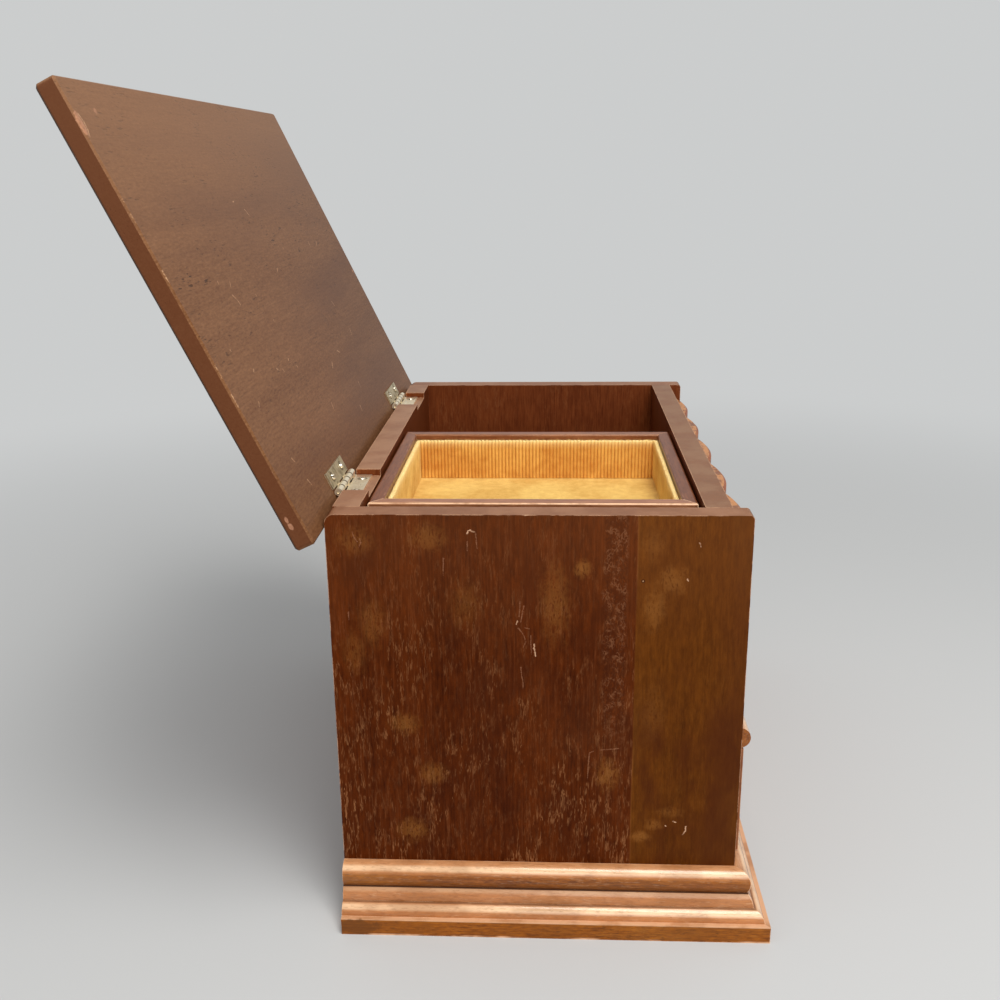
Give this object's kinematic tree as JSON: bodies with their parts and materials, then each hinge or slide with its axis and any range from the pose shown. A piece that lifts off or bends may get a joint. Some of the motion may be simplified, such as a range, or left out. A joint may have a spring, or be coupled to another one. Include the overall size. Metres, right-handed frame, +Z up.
{
  "type": "jewelry chest",
  "caption": "Wooden jewelry chest with a hinged lid, a reeded front over a bullnose ledge, a lined sliding tray, a drawer below and a stepped, mitred base moulding.",
  "frame": {"origin": "centre of the base's footprint, on the surface the chest stands on", "axes": "+X to the right as seen from the front, -Y out of the front, +Z up"},
  "size_m": [0.367, 0.3249, 0.4124],
  "materials": {
    "case_wood": "worn satin lacquer, dark red-brown",
    "lid_wood": "worn satin lacquer, medium brown",
    "reed_wood": "satin lacquer, orange-brown",
    "moulding_wood": "gloss lacquer, honey-brown",
    "inner_wood": "matt, red-brown",
    "tray_wood": "satin lacquer, dark brown",
    "drawer_wood": "satin lacquer, red-brown",
    "knob_wood": "satin lacquer, turned",
    "lining_cloth": "golden-yellow corduroy",
    "hinge_metal": "tarnished nickel plate",
    "screw_metal": "tarnished nickel plate"
  },
  "bodies": {
    "case": {"side_panel_left": "case_wood", "side_panel_right": "case_wood", "back_panel": "case_wood", "front_panel": "case_wood", "front_reed_1": "reed_wood", "front_reed_2": "reed_wood", "front_reed_3": "reed_wood", "front_reed_4": "reed_wood", "front_reed_5": "reed_wood", "ledge_rail": "moulding_wood", "compartment_floor": "inner_wood", "floor_cleat_left": "inner_wood", "floor_cleat_right": "inner_wood", "drawer_deck": "inner_wood", "plinth_rail": "inner_wood", "bottom_panel": "inner_wood", "tray_runner_front": "inner_wood", "tray_runner_back": "inner_wood", "base_moulding_front": "moulding_wood", "base_moulding_left": "moulding_wood", "base_moulding_right": "moulding_wood", "hinge_left_fixed_leaf": "hinge_metal", "hinge_right_fixed_leaf": "hinge_metal", "hinge_left_pin": "hinge_metal", "hinge_right_pin": "hinge_metal", "fixed_leaf_screws": "screw_metal"},
    "lid": {"lid_panel": "lid_wood", "hinge_left_moving_leaf": "hinge_metal", "hinge_right_moving_leaf": "hinge_metal", "moving_leaf_screws": "screw_metal"},
    "tray": {"tray_side_front": "tray_wood", "tray_side_back": "tray_wood", "tray_end_left": "tray_wood", "tray_end_right": "tray_wood", "tray_bottom": "tray_wood", "tray_wall_lining": "lining_cloth", "tray_floor_lining": "lining_cloth"},
    "drawer": {"drawer_front": "drawer_wood", "drawer_side_left": "inner_wood", "drawer_side_right": "inner_wood", "drawer_back": "inner_wood", "drawer_bottom": "inner_wood", "drawer_lining": "lining_cloth", "drawer_knob": "knob_wood", "knob_screw": "screw_metal"}
  },
  "joints": [
    {"name": "lid_hinge", "type": "hinge", "parent": "case", "child": "lid", "pos_m": [0, 0.1091, 0.2185], "axis": [1, 0, 0], "range_deg": [0, 115.3]},
    {"name": "tray_slide", "type": "slide", "parent": "case", "child": "tray", "axis": [1, 0, 0], "range_m": [-0.0155, 0.1345]},
    {"name": "drawer_slide", "type": "slide", "parent": "case", "child": "drawer", "axis": [0, -1, 0], "range_m": [0, 0.14]}
  ]
}
